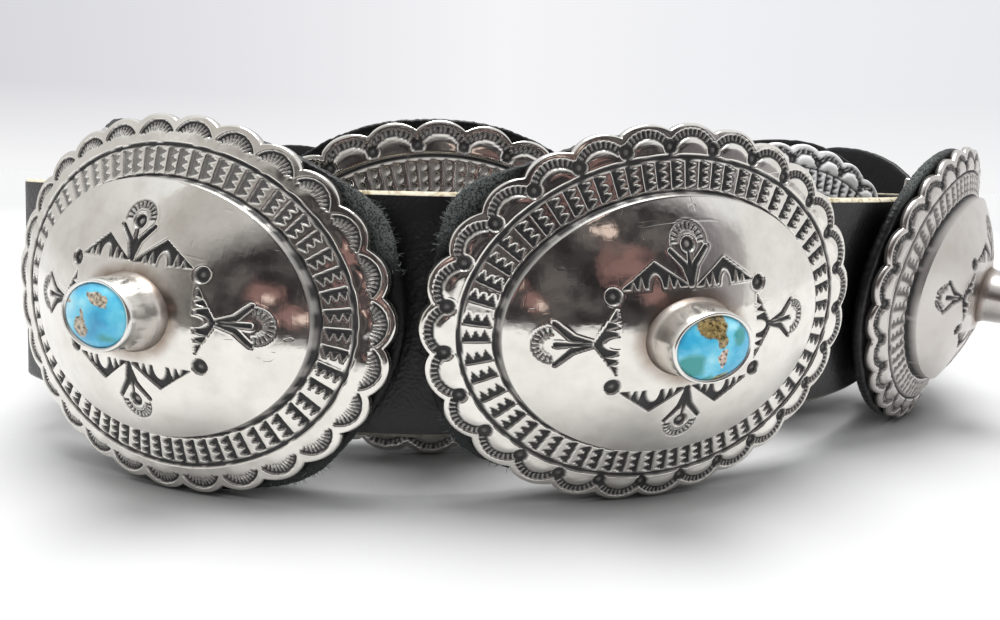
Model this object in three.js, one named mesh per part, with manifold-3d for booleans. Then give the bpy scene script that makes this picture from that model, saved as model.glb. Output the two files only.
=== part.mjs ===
// A concho belt standing on edge in an open coil: a black leather strap that carries domed silver
// plaques, each with an oval turquoise in a tall bezel and a black leather oval behind it.
// Millimetres, +Z up. The lowest scallop of each plaque stands on z = 0.
import * as THREE from "three";
import { mergeVertices } from "three/addons/utils/BufferGeometryUtils.js";
import Module from "manifold-3d";

const wasm = await Module();
wasm.setup();

// Plaque, in its own frame: u to its right, v up, n out of its face
const HALF_WIDTH = 42;
const HALF_HEIGHT = 33.4;
const SCALLOPS = 27;
const NOTCH = 1.4;
const SHEET = 1.2;
const SAG_U = 0.00464;
const SAG_V = 0.0037;
const RIM = { u: 35.9, v: 28 };
const MOAT = { u: 30.4, v: 22.8 };
const DOME = { u: 29.76, v: 22.11 };
const STEP = 1.76;
const CROWN = 4.1;

// Bezel and stone
const BEZEL_FOOT = { u: 8, v: 6.5 };
const BEZEL_LIP = { u: 7, v: 5.7 };
const BEZEL_MOUTH = { u: 6.65, v: 5.32 };
const BEZEL_TOP = 11.9;
const BEZEL_FLOOR = 6.9;
const STONE = { u: 6.34, v: 5.01 };
const STONE_EDGE = 11.6;
const STONE_TOP = 12.9;
const BEZEL_SIDES = 12;

// Leather
const GAP = 0.3;
const BACKING = { u: 42, v: 33.4 };
const BACKING_THICK = 2;
const STRAP_HEIGHT = 43;
const STRAP_THICK = 2.6;
const STRAP_MIDDLE = 33.1;

// Loop soldered behind each plaque, around the strap
const LOOP_WIDTH = 8;
const LOOP_METAL = 1.4;
const LOOP_INNER = 46.8;
const LOOP_GAP = 0.4;

// Depths behind the plaque's origin, along n
const RIM_BACK = SAG_U * HALF_WIDTH ** 2 + SHEET;
const BACKING_FRONT = RIM_BACK + GAP;
const STRAP_FRONT = BACKING_FRONT + BACKING_THICK + GAP;

// Route of the strap's outer face, seen from above. It starts behind the first plaque. Each row
// gives the way to the next plaque: run along the strap, turn in degrees, swing (turned on top in
// the first half of the bend and back in the second) and how late the bend comes. Then how this
// plaque leans (tilt looks down) and rolls (right end up), and where its leather oval sits.
const START = { x: -55, y: 137.4, heading: -19.6 };
const HOLD = 20;
const ARC_STEPS = 6;
const PLAQUES = [
  { run: 84, turn: 36.5, swing: 0, late: 1.3, tilt: -3.9, roll: -3, leatherU: 0.9, leatherV: 0 },
  { run: 94, turn: 32.2, swing: 0, late: -3.3, tilt: 3.7, roll: 4.1, leatherU: 0, leatherV: 0.3 },
  { run: 86, turn: 66, swing: 0, late: 0, tilt: 5.4, roll: -2, leatherU: 0, leatherV: 2 },
  { run: 86, turn: 21.5, swing: 0, late: 0, tilt: 0, roll: 0, leatherU: 0, leatherV: 2.6 },
  { run: 86, turn: 38, swing: 0, late: 0, tilt: 0, roll: 0, leatherU: 0, leatherV: 2 },
  { run: 86, turn: 50, swing: 0, late: 0, tilt: 0, roll: 0, leatherU: 0, leatherV: 2 },
  { run: 86, turn: 49, swing: 0, late: 0, tilt: 0, roll: 0, leatherU: 0, leatherV: 2 },
  { run: 86, turn: 35.9, swing: 0, late: 0, tilt: 0, roll: 0, leatherU: 0, leatherV: 2 },
  { run: 86, turn: 57, swing: 0, late: 0, tilt: 0, roll: 0, leatherU: 0, leatherV: 2 },
  { run: 86.5, turn: 13.5, swing: 25, late: -17, tilt: 0, roll: 0, leatherU: 0, leatherV: 2 },
  { run: 66, turn: 70, swing: 0, late: 0, tilt: 0, roll: -1, leatherU: 0, leatherV: 1 },
];
const OUTER_END = { arc: 34, turn: 22 };

// Clasp crimped over the strap's inner end
const CLASP_HEIGHT = 36;
const CLASP_METAL = 1.4;
const CLASP_GRIP = 14;
const TONGUE = 16;
const HOOK = 8;
const HOOK_GAP = 5;

const silver = new THREE.MeshStandardMaterial({ color: 0xc9c6c0, roughness: 0.25, metalness: 1 });
const turquoise = new THREE.MeshStandardMaterial({ color: 0x3fa3c4, roughness: 0.25, metalness: 0 });
const leather = new THREE.MeshStandardMaterial({ color: 0x17171a, roughness: 0.6, metalness: 0 });

const radians = THREE.MathUtils.degToRad;
const base = (u, v) => -SAG_U * u * u - SAG_V * v * v;
const domed = (u, v) => base(u, v) + STEP + CROWN * (1 - (u / DOME.u) ** 2 - (v / DOME.v) ** 2);

// A ring of points on an ellipse, counterclockwise from the front, at the height that lift gives
function ellipse(size, count, lift, start = 0) {
  return Array.from({ length: count }, (_, i) => {
    const angle = start + (i * 2 * Math.PI) / count;
    const u = size.u * Math.cos(angle);
    const v = size.v * Math.sin(angle);
    return new THREE.Vector3(u, v, lift(u, v));
  });
}

// Closed surface lofted through rings, from the middle of the back round to the middle of the front
function loft(backCentre, rings, frontCentre) {
  const points = [backCentre, ...rings.flat(), frontCentre];
  const faces = [];
  const around = (p) => Math.atan2(p.y / HALF_HEIGHT, p.x / HALF_WIDTH);
  let first = 1;
  const indexed = rings.map((ring) => {
    const entries = ring.map((p, i) => ({ index: first + i, angle: around(p) }));
    first += ring.length;
    return entries.sort((a, b) => a.angle - b.angle);
  });
  const at = (ring, i) => ring[i % ring.length].index;
  const angle = (ring, i) => ring[i % ring.length].angle + 2 * Math.PI * Math.floor(i / ring.length);
  for (let r = 0; r + 1 < indexed.length; r++) {
    const [a, b] = [indexed[r], indexed[r + 1]];
    let i = 0;
    let j = 0;
    while (i < a.length || j < b.length) {
      if (j >= b.length || (i < a.length && angle(a, i + 1) <= angle(b, j + 1))) {
        faces.push(at(a, i), at(a, i + 1), at(b, j));
        i++;
      } else {
        faces.push(at(a, i), at(b, j + 1), at(b, j));
        j++;
      }
    }
  }
  const start = indexed[0];
  const end = indexed[indexed.length - 1];
  start.forEach((_, i) => faces.push(0, at(start, i + 1), at(start, i)));
  end.forEach((_, i) => faces.push(points.length - 1, at(end, i), at(end, i + 1)));
  return new THREE.BufferGeometry().setFromPoints(points).setIndex(faces);
}

function toSolid(geometry) {
  geometry.deleteAttribute("normal");
  geometry.deleteAttribute("uv");
  const merged = mergeVertices(geometry, 1e-4);
  return new wasm.Manifold(
    new wasm.Mesh({
      numProp: 3,
      vertProperties: new Float32Array(merged.attributes.position.array),
      triVerts: new Uint32Array(merged.index.array),
    }),
  );
}

function toGeometry(solid) {
  const { vertProperties, triVerts } = solid.getMesh();
  const shared = new THREE.BufferGeometry();
  shared.setAttribute("position", new THREE.BufferAttribute(new Float32Array(vertProperties), 3));
  shared.setIndex([...triVerts]);
  const faceted = shared.toNonIndexed();
  faceted.computeVertexNormals();
  return faceted;
}

function named(name, geometry, material) {
  const mesh = new THREE.Mesh(geometry, material);
  mesh.name = name;
  return mesh;
}

// Flat outline drawn in two axes and pushed along the third, centred on it
function prism(outline, depth) {
  const shape = new THREE.Shape(outline.map(([x, y]) => new THREE.Vector2(x, y)));
  const geometry = new THREE.ExtrudeGeometry(shape, { depth, bevelEnabled: false });
  return geometry.translate(0, 0, -depth / 2);
}

// The same, with the outline in v and n and the depth along u
const alongU = (outline, depth) => prism(outline, depth).applyMatrix4(
  new THREE.Matrix4().makeBasis(
    new THREE.Vector3(0, 1, 0),
    new THREE.Vector3(0, 0, 1),
    new THREE.Vector3(1, 0, 0),
  ),
);

// Angles of the notches, equally spaced along the outline, with one scallop centred at the bottom
function notchAngles() {
  const samples = 3600;
  const lengths = [0];
  const rim = (i) => {
    const angle = -Math.PI / 2 + (i * 2 * Math.PI) / samples;
    return new THREE.Vector2(HALF_WIDTH * Math.cos(angle), HALF_HEIGHT * Math.sin(angle));
  };
  for (let i = 1; i <= samples; i++) lengths.push(lengths[i - 1] + rim(i).distanceTo(rim(i - 1)));
  return Array.from({ length: SCALLOPS }, (_, k) => {
    const wanted = ((k + 0.5) / SCALLOPS) * lengths[samples];
    const i = lengths.findIndex((length) => length >= wanted);
    const place = i - (lengths[i] - wanted) / (lengths[i] - lengths[i - 1]);
    return -Math.PI / 2 + (place * 2 * Math.PI) / samples;
  });
}

// Scalloped outline: a notch and two shoulders for each scallop
function outline(drop) {
  const notches = notchAngles();
  const points = [];
  notches.forEach((angle, k) => {
    const next = k + 1 < SCALLOPS ? notches[k + 1] : notches[0] + 2 * Math.PI;
    [[0, NOTCH], [0.28, 0], [0.72, 0]].forEach(([share, cut]) => {
      const a = angle + share * (next - angle);
      const u = (HALF_WIDTH - cut) * Math.cos(a);
      const v = (HALF_HEIGHT - cut) * Math.sin(a);
      points.push(new THREE.Vector3(u, v, base(u, v) - drop));
    });
  });
  return points;
}

function plaque() {
  const back = (u, v) => base(u, v) - SHEET;
  const hollow = (u, v) => domed(u, v) - SHEET;
  const share = (size, part) => ({ u: size.u * part, v: size.v * part });
  const level = (n) => () => n;
  const sheet = loft(
    new THREE.Vector3(0, 0, hollow(0, 0)),
    [
      ellipse(share(DOME, 0.5), 12, hollow),
      ellipse(MOAT, 16, back),
      outline(SHEET),
      outline(0),
      ellipse(RIM, 27, base),
      ellipse(MOAT, 24, base),
      ellipse(DOME, 24, domed),
      ellipse(share(DOME, 0.62), 12, domed),
      ellipse(BEZEL_FOOT, BEZEL_SIDES, domed),
      ellipse(BEZEL_LIP, BEZEL_SIDES, level(BEZEL_TOP)),
      ellipse(BEZEL_MOUTH, BEZEL_SIDES, level(BEZEL_TOP)),
      ellipse(BEZEL_MOUTH, BEZEL_SIDES, level(BEZEL_FLOOR)),
    ],
    new THREE.Vector3(0, 0, BEZEL_FLOOR),
  );
  const bar = -STRAP_FRONT - STRAP_THICK - LOOP_GAP;
  const inner = LOOP_INNER / 2;
  const outer = inner + LOOP_METAL;
  const root = back(0, outer) + SHEET / 2;
  const loop = alongU(
    [
      [inner, root],
      [inner, bar],
      [-inner, bar],
      [-inner, root],
      [-outer, root],
      [-outer, bar - LOOP_METAL],
      [outer, bar - LOOP_METAL],
      [outer, root],
    ],
    LOOP_WIDTH,
  );
  return toGeometry(toSolid(sheet).add(toSolid(loop)));
}

function stone() {
  const level = (n) => () => n;
  const shoulder = { u: STONE.u * 0.62, v: STONE.v * 0.62 };
  const geometry = loft(
    new THREE.Vector3(0, 0, BEZEL_FLOOR + GAP),
    [
      ellipse(STONE, BEZEL_SIDES, level(BEZEL_FLOOR + GAP)),
      ellipse(STONE, BEZEL_SIDES, level(STONE_EDGE)),
      ellipse(shoulder, BEZEL_SIDES, level(STONE_TOP - 0.3)),
    ],
    new THREE.Vector3(0, 0, STONE_TOP),
  );
  geometry.computeVertexNormals();
  return geometry;
}

// Leather oval: a sheet that curves along v to follow the rim's back, cut to an oval with two slots
function backing(row) {
  const bow = (SAG_U * HALF_WIDTH ** 2) / HALF_HEIGHT ** 2 - SAG_V;
  const front = (v) => -BACKING_FRONT + bow * v * v;
  const levels = Array.from({ length: 7 }, (_, i) => -36 + i * 12);
  const sheet = alongU(
    [
      ...levels.map((v) => [v, front(v) - BACKING_THICK]),
      ...levels.map((v) => [v, front(v)]).reverse(),
    ],
    2 * BACKING.u + 10,
  );
  const oval = ellipse(BACKING, 24, () => 0).map((p) => [p.x + row.leatherU, p.y + row.leatherV]);
  const slotMiddle = (LOOP_INNER + LOOP_METAL) / 2;
  const slot = [LOOP_WIDTH + 1.2, LOOP_METAL + 1.2, 40];
  const cut = (side) => toSolid(new THREE.BoxGeometry(...slot).translate(0, side * slotMiddle, 0));
  return toGeometry(
    toSolid(sheet).intersect(toSolid(prism(oval, 60))).subtract(cut(1)).subtract(cut(-1)),
  );
}

// Stations along the strap's outer face: place, heading and lean; and the places of the plaques
function route() {
  const stations = [];
  const stops = [];
  const at = { x: START.x, y: START.y, heading: radians(START.heading), tilt: PLAQUES[0].tilt };
  const mark = () => stations.push({ ...at });
  const go = (length) => {
    at.x += length * Math.cos(at.heading);
    at.y += length * Math.sin(at.heading);
  };
  const bend = (length, turn, swing, tiltTo) => {
    const tiltFrom = at.tilt;
    for (let k = 1; k <= ARC_STEPS; k++) {
      const halfStep = (turn / 2 + (k <= ARC_STEPS / 2 ? swing : -swing)) / ARC_STEPS;
      at.heading += halfStep;
      go(length / ARC_STEPS);
      at.heading += halfStep;
      at.tilt = tiltFrom + ((tiltTo - tiltFrom) * k) / ARC_STEPS;
      mark();
    }
  };
  // Back from the first plaque to the strap's outer end, then turned round
  go(-HOLD);
  mark();
  bend(-OUTER_END.arc, -radians(OUTER_END.turn), 0, at.tilt);
  stations.reverse();
  Object.assign(at, { x: START.x, y: START.y, heading: radians(START.heading) });
  PLAQUES.forEach((row, i) => {
    stops.push({ ...at });
    const next = PLAQUES[i + 1] ?? { tilt: 0, hold: CLASP_GRIP + 2 };
    const hold = next.hold ?? HOLD;
    go(HOLD + row.late);
    mark();
    bend(row.run - HOLD - hold, radians(row.turn), radians(row.swing), next.tilt);
    go(hold - row.late);
    mark();
  });
  return { stations, stops, end: { ...at } };
}

// Directions at a place on the strap: across it outwards, and up along its lean
function directions(place) {
  const tilt = radians(place.tilt);
  const out = new THREE.Vector3(
    Math.sin(place.heading) * Math.cos(tilt),
    -Math.cos(place.heading) * Math.cos(tilt),
    -Math.sin(tilt),
  );
  const along = new THREE.Vector3(Math.cos(place.heading), Math.sin(place.heading), 0);
  return { out, up: out.clone().cross(along) };
}

function strap(stations) {
  const points = [];
  const faces = [];
  stations.forEach((place) => {
    const { out, up } = directions(place);
    const middle = new THREE.Vector3(place.x, place.y, STRAP_MIDDLE);
    [[0, 0.5], [0, -0.5], [-STRAP_THICK, -0.5], [-STRAP_THICK, 0.5]].forEach(([depth, height]) =>
      points.push(middle.clone().addScaledVector(out, depth).addScaledVector(up, height * STRAP_HEIGHT)),
    );
  });
  for (let i = 0; i + 1 < stations.length; i++) {
    for (let k = 0; k < 4; k++) {
      const [a, b] = [4 * i + k, 4 * i + ((k + 1) % 4)];
      faces.push(a, b, b + 4, a, b + 4, a + 4);
    }
  }
  const last = points.length - 4;
  faces.push(0, 3, 2, 0, 2, 1, last, last + 1, last + 2, last, last + 2, last + 3);
  const geometry = new THREE.BufferGeometry().setFromPoints(points).setIndex(faces);
  const faceted = geometry.toNonIndexed();
  faceted.computeVertexNormals();
  return faceted;
}

// Channel over the strap's end, tongue and hook, drawn from above: along the strap and inwards
function clasp() {
  const outside = -GAP - CLASP_METAL;
  const inside = STRAP_THICK + GAP + CLASP_METAL;
  const tongue = (STRAP_THICK - CLASP_METAL) / 2;
  const web = GAP + CLASP_METAL;
  const heel = web + TONGUE;
  const hook = tongue + CLASP_METAL + HOOK_GAP;
  return prism(
    [
      [-CLASP_GRIP, outside],
      [web, outside],
      [web, tongue],
      [heel + CLASP_METAL, tongue],
      [heel + CLASP_METAL, hook + CLASP_METAL],
      [heel - HOOK, hook + CLASP_METAL],
      [heel - HOOK, hook],
      [heel, hook],
      [heel, tongue + CLASP_METAL],
      [web, tongue + CLASP_METAL],
      [web, inside],
      [-CLASP_GRIP, inside],
      [-CLASP_GRIP, inside - CLASP_METAL],
      [GAP, inside - CLASP_METAL],
      [GAP, -GAP],
      [-CLASP_GRIP, -GAP],
    ],
    CLASP_HEIGHT,
  );
}

// Belt
const belt = new THREE.Group();
const path = route();
belt.add(named("strap", strap(path.stations), leather));

path.stops.forEach((stop, i) => {
  const row = PLAQUES[i];
  const number = String(i + 1).padStart(2, "0");
  const holder = new THREE.Group();
  holder.add(named("plaque_" + number, plaque(), silver));
  holder.add(named("stone_" + number, stone(), turquoise));
  holder.add(named("backing_" + number, backing(row), leather));
  const { out } = directions(stop);
  holder.position.set(stop.x, stop.y, 0).addScaledVector(out, STRAP_FRONT);
  const yaw = new THREE.Quaternion().setFromAxisAngle(new THREE.Vector3(0, 0, 1), stop.heading);
  const lean = new THREE.Quaternion().setFromAxisAngle(
    new THREE.Vector3(1, 0, 0),
    radians(90 + row.tilt),
  );
  const roll = new THREE.Quaternion().setFromAxisAngle(new THREE.Vector3(0, 0, 1), radians(row.roll));
  holder.quaternion.copy(yaw.multiply(lean).multiply(roll));
  holder.position.z -= new THREE.Box3().setFromObject(holder, true).min.z;
  belt.add(holder);
});

const hook = named("clasp_hook", clasp(), silver);
hook.position.set(path.end.x, path.end.y, STRAP_MIDDLE);
hook.rotation.z = path.end.heading;
belt.add(hook);

// The middle of the belt's outline goes to x = y = 0
const middle = new THREE.Box3().setFromObject(belt, true).getCenter(new THREE.Vector3());
belt.position.set(-middle.x, -middle.y, 0);

const group = new THREE.Group();
group.add(belt);

export default group;
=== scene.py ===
"""Looks of a concho belt that stands on edge: stamped silver plaques with turquoise, on black leather."""
import math

import bpy
import numpy as np
from mathutils import Matrix, Vector


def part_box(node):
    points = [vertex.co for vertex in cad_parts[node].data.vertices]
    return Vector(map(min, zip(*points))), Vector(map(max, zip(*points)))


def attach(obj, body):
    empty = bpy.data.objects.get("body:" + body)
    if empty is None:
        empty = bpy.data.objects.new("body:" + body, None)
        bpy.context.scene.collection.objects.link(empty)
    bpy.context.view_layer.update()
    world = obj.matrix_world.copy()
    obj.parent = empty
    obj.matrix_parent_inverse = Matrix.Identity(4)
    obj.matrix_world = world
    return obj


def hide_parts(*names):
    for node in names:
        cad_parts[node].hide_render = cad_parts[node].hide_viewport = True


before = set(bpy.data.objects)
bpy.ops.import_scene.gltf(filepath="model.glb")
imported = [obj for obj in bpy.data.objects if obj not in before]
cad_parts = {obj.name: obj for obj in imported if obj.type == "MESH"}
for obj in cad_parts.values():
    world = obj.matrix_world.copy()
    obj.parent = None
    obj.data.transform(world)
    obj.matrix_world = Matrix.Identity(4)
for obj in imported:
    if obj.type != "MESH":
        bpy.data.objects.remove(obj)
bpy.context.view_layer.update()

MM = 0.001

# Camera, in millimetres and degrees. The focal length is a share of the image's width.
CAMERA_PLACE = (2.48, -247.70, 57.79)
CAMERA_YAW = -0.17
CAMERA_DOWN = 10.47
CAMERA_ROLL = 1.36
FOCAL_SHARE = 0.73525
SENSOR = 36

# Plaque, in its own frame: u to its right, v up, n out of its face. Sizes in pairs are half sizes.
HALF = (42.0, 33.4)
SHEET = 1.2
SAG = (0.00464, 0.0037)
DOME = (29.76, 22.11)
STEP = 1.76
CROWN = 4.1
COMBS = 64
OUTLINE_LENGTH = 238.4
SCALLOP_ROUND = 7.6
UNDER_BEZEL = (7.2, 5.8)
DOME_FOOT = 0.52
BACK_RIM = (39.2, 30.6)
# How far inside the outline an oval lies at its sides, and at its top and bottom
INSET_SIDE, INSET_TOP = (0, 6.1, 11.2, 12.24, 17), (0, 5.4, 10.4, 11.29, 15.7)

# Bezel and stone
BEZEL_FOOT = (8.0, 6.5)
BEZEL_TOP = 11.9
BEZEL_BOTTOM, BEZEL_SEAT = 4.7, 8.9
BEZEL_UNDER, BEZEL_INSIDE = (7.2, 5.7), (6.15, 4.95)
STONE = (6.34, 5.01)
STONE_BASE = 7.2
STONE_EDGE = 11.6
STONE_TOP = 12.9
SHOULDER_SHARE, SHOULDER_DROP = 0.62, 0.3
CABOCHON, CABOCHON_FOOT = (6.4, 5.08), (6.1, 4.8)

# Leather and the loops behind the plaques
BACKING = (42.0, 33.4)
BACKING_THICK = 2.0
BACKING_FRONT = SAG[0] * HALF[0] ** 2 + SHEET + 0.3
STRAP_FRONT = BACKING_FRONT + BACKING_THICK + 0.3
STRAP_HEIGHT = 43.0
STRAP_THICK = 2.6
STRAP_MIDDLE = 33.1
STRAP_LEVELS = 9
UNDER_EDGE_RAW_IN_SHADE = 0.12
FIBRES = 420
LOOP_WIDTH = 8.0
LOOP_METAL = 1.4
LOOP_INNER = 46.8
LOOP_GAP = 0.4

# Route of the strap's outer face, seen from above, from the first plaque on. A row gives the way to
# the next plaque: its run and turn, a swing on top of the turn and back, and how late the bend comes.
# The rest is the plaque itself: how it leans (tilt) and rolls, where its leather oval sits, how its rim
# is stamped, how many columns each scallop is made with, how many scallops there are and how far they
# are moved round (phase), how far in its groove and moat lie, the combs between them (half a bar's
# thickness, a tooth's length), how much taller the sheet is, its silver, where the stamps of its border
# are made lighter (angle, width, share; on the tenth plaque a painted reflection of the bright room),
# and where its leather bulges (angle, width, how far, how rough).
START = (-55.0, 137.4, -19.6)
HOLD = 20.0
HOLD_STEPS, ARC_STEPS = 6, 24
FINE, MIDDLE, COARSE = 40, 24, 16
OVAL_STEPS = {FINE: 400, MIDDLE: 400, COARSE: 160}
RIM_ROWS = {FINE: 46, MIDDLE: 36, COARSE: 24}
DOME_ROWS = {FINE: (5, 60, 2), MIDDLE: (4, 37, 2), COARSE: (3, 19, 2)}
PLAQUES = [
    dict(run=84, turn=36.5, late=1.3, tilt=-3.9, roll=-3, leather=(0.9, 0), rim="crescent", columns=FINE,
         lightened=((112, 50, 0.4),),
         bulges=((34, 12, 2.4, 1), (-52, 12, 1.1, 0.2), (-25, 20, -0.8, 0), (95, 38, -1.6, 0),
                 (160, 60, -1.5, 0))),
    dict(run=94, turn=32.2, late=-3.3, tilt=3.7, roll=4.1, leather=(0, 0.3), columns=FINE,
         bulges=((140, 12, 2.8, 1), (214, 12, 1.7, 0.15), (90, 30, -1.5, 0), (20, 60, -1.4, 0),
                 (178, 16, -1.6, 0))),
    dict(run=86, turn=66, tilt=5.4, roll=-2, leather=(-0.6, 0.5), columns=MIDDLE, silver="dull_shaded",
         lightened=((150, 200, 0.3),),
         bulges=((130, 16, 0.8, 1), (190, 40, 1.4, 0), (235, 20, 0.8, 0), (85, 30, -1.2, 0))),
    dict(run=86, turn=21.5, leather=(0, 2.6), bulges=((95, 60, 0.4, 0),)),
    dict(run=86, turn=38, leather=(0, 2), rim="crescent"),
    dict(run=86, turn=50, leather=(0, 2)),
    dict(run=86, turn=49, leather=(0, 2), rim="crescent"),
    dict(run=86, turn=35.9, leather=(0, 2)),
    dict(run=86, turn=57, leather=(0, 2), rim="crescent"),
    dict(run=86.5, turn=13.5, swing=25, late=-17, roll=1.9, leather=(0, 1.6), columns=MIDDLE, scallops=24,
         phase=-0.2, groove=7.4, moat=15.3, bar=0.24, tooth=1.05, taller=1.015, lightened=((90, 200, 0.5),)),
    dict(run=66, turn=70, roll=-1, leather=(0, 1), silver="pale"),
]
PLAIN = dict(
    swing=0, late=0, tilt=0, roll=0, rim="dot", columns=COARSE, scallops=27, phase=0, groove=6.15,
    moat=11.72, bar=0.36, tooth=1.4, taller=1, silver="worn", lightened=(), bulges=(),
)
PLAQUES = [{**PLAIN, **row} for row in PLAQUES]
OUTER_END = (34.0, 22.0)

# Clasp over the strap's inner end
CLASP_HEIGHT = 36.0
CLASP_METAL = 1.4
CLASP_GRIP = 14.0
CLASP_HOLD = CLASP_GRIP + 2
CLASP_GAP = 0.3
TONGUE = 16.0
HOOK = 8.0
HOOK_GAP = 5.0

# Stamps of the dome, from its middle. A triangle is its base's middle, which way it points in degrees
# and its apex, a tooth its place along the base and height. A blossom is its root, which way it grows,
# how far out its dot and fan lie, how far each petal reaches along and across, and its lens, if any.
CORNER_DOTS = [(-13.1, -7.4), (-13.1, 7.4), (13.1, -7.4), (13.1, 7.4)]
TRIANGLES = [
    ((-6.1, 8.3), 90, (0, 4.1)), ((-6.1, -8.5), -90, (0.3, 4.1)), ((6.1, 8.3), 90, (0, 4.1)),
    ((6.1, -8.5), -90, (0.3, 4.1)), ((-12.6, -0.1), 180, (0, 3.8)), ((12.6, 0), 0, (0, 3.4)),
]
TEETH = [(-3.6, 1.3), (-2.3, 2.0), (2.3, 2.0), (3.6, 1.3)]
BLOSSOMS = [
    ((-0.15, 8.8), 90, 6.0, 6.4, ((5.4, 3.2), (5.2, 3.2)), 0),
    ((-0.15, -9.0), -90, 6.3, 6.8, ((6.0, 3.1), (5.7, 3.2)), 0),
    ((-16.3, 0), 180, 0, 6.2, ((5.7, 3.5), (5.7, 3.3)), 5.6),
    ((15.9, 0.1), 0, 0, 5.9, ((5.4, 3.3), (5.4, 3.3)), 5.2),
]
FAN_INNER, FAN_OUTER = 1.75, 2.9
FAN_SLOTS = 11
FAN_SPREAD = math.radians(95)

# Kinds of silver: how hazy, tint, roughness, share of metal, and how dark a dome's wall is, as patina and
# painted shade
SILVERS = {
    "worn": dict(haze=0.35, tint=(1, 1, 1), rough=0.035, metal=1.0, wall=0.5),
    "collar": dict(haze=0.15, tint=(1.06, 1.06, 1.08), rough=0.16, metal=1.0),
    # Third plaque: hazier tarnish, and a darker tint that is painted shade for the grey its dome mirrors
    "dull_shaded": dict(haze=0.5, tint=(0.72, 0.7, 0.71), rough=0.2, metal=1.0, wall=0.12),
    # Last plaque: a bright, rough, barely metallic copy, painted light for the glare its rim catches
    "pale": dict(haze=0.1, tint=(1.14, 1.17, 1.24), rough=0.35, metal=0.15, wall=0.4),
}
HAZE_TONE, FILM_TONE = (0.50, 0.455, 0.42), (0.22, 0.14, 0.09)
SOOT_TONES = [(0.3, (0.016, 0.016, 0.017)), (0.7, (0.046, 0.043, 0.042))]
SILVER_TONES = ((0.35, (0.83, 0.81, 0.76)), (0.6, (0.77, 0.745, 0.695)), (0.8, (0.66, 0.635, 0.585)))


def put(name, data):
    """A new object in the scene."""
    made = bpy.data.objects.new(name, data)
    bpy.context.scene.collection.objects.link(made)
    return made


def make_camera():
    camera = put("camera", bpy.data.cameras.new("camera"))
    camera.data.sensor_width = SENSOR
    camera.data.lens = FOCAL_SHARE * SENSOR
    camera.data.clip_start = 0.01
    turned = Matrix.Translation(Vector(CAMERA_PLACE) * MM)
    for angle, axis in ((CAMERA_YAW, "Z"), (90 - CAMERA_DOWN, "X"), (CAMERA_ROLL, "Z")):
        turned = turned @ Matrix.Rotation(math.radians(angle), 4, axis)
    camera.matrix_world = turned
    bpy.context.scene.camera = camera


make_camera()


# Numbers shared by the shapes

def ramp(start, end, x):
    """0 before start and 1 past end, smooth between. End may be the smaller one."""
    t = np.clip((x - start) / (end - start), 0, 1)
    return t * t * (3 - 2 * t)


def base(u, v):
    return -SAG[0] * u * u - SAG[1] * v * v


def domed(u, v, edge=DOME):
    return base(u, v) + STEP + CROWN * (1 - (u / edge[0]) ** 2 - (v / edge[1]) ** 2)


def turn(degrees):
    return math.cos(math.radians(degrees)), math.sin(math.radians(degrees))


def oval(size, angle):
    """Points on an ellipse: all their u, and all their v."""
    return np.stack([size[0] * np.cos(angle), size[1] * np.sin(angle)])


def apart(degrees, at):
    """How far angles lie from another one, from -180 to 180."""
    return (degrees - at + 180) % 360 - 180


class Waves:
    """Smooth seeded noise over two coordinates, a sum of sine waves of about one wavelength."""

    def __init__(self, seed, length):
        rng = np.random.default_rng(seed)
        count = 9
        angle = rng.uniform(0, 2 * math.pi, count)
        pitch = 2 * math.pi / (length * rng.uniform(0.7, 1.5, count))
        self.across, self.along = pitch * np.cos(angle), pitch * np.sin(angle)
        self.phase = rng.uniform(0, 2 * math.pi, count)

    def at(self, u, v):
        total = 0
        for a, b, p in zip(self.across, self.along, self.phase):
            total = total + np.sin(a * u + b * v + p)
        return total / math.sqrt(len(self.phase))


# Meshes from rings

class Rings:
    """A closed surface of rings, from the middle of one face round to the middle of the other.
    A ring's count divides its neighbour's, or is divided by it."""

    def __init__(self):
        self.points, self.faces, self.values = [], [], []
        self.count = 0
        self.last = None

    def pole(self, point, value=0.0):
        self.ring([point], [value])

    def ring(self, points, values=None):
        n = len(points)
        self.points.append(np.asarray(points, float))
        self.values.append(np.zeros(n) if values is None else np.asarray(values, float))
        new, old = self.count + np.arange(n), self.last
        self.count += n
        self.last = new
        if old is None:
            return
        m = len(old)
        if n == 1:
            self.faces += np.stack([old, np.roll(old, -1), np.full(m, new[0])], 1).tolist()
        elif m == 1:
            self.faces += np.stack([new, np.roll(new, -1), np.full(n, old[0])], 1).tolist()
        elif m == n:
            self.faces += np.stack([old, np.roll(old, -1), np.roll(new, -1), new], 1).tolist()
        elif m > n:
            self.fan(old, new, False)
        else:
            self.fan(new, old, True)

    def sheet(self, u, v, height, values):
        """A ring for each row of the arrays."""
        for row in zip(u, v, height, values):
            self.ring(np.stack(row[:3], 1), row[3])

    def fan(self, many, few, flip):
        step = len(many) // len(few)
        for i in range(len(few)):
            j = (i + 1) % len(few)
            chain = [many[(i * step + k) % len(many)] for k in range(step + 1)]
            half = step // 2
            made = [[chain[k], chain[k + 1], few[i] if k < half else few[j]] for k in range(step)]
            made.append([chain[half], few[j], few[i]])
            self.faces += [f[::-1] for f in made] if flip else made

    def arrays(self):
        return np.concatenate(self.points), self.faces, np.concatenate(self.values)


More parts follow.
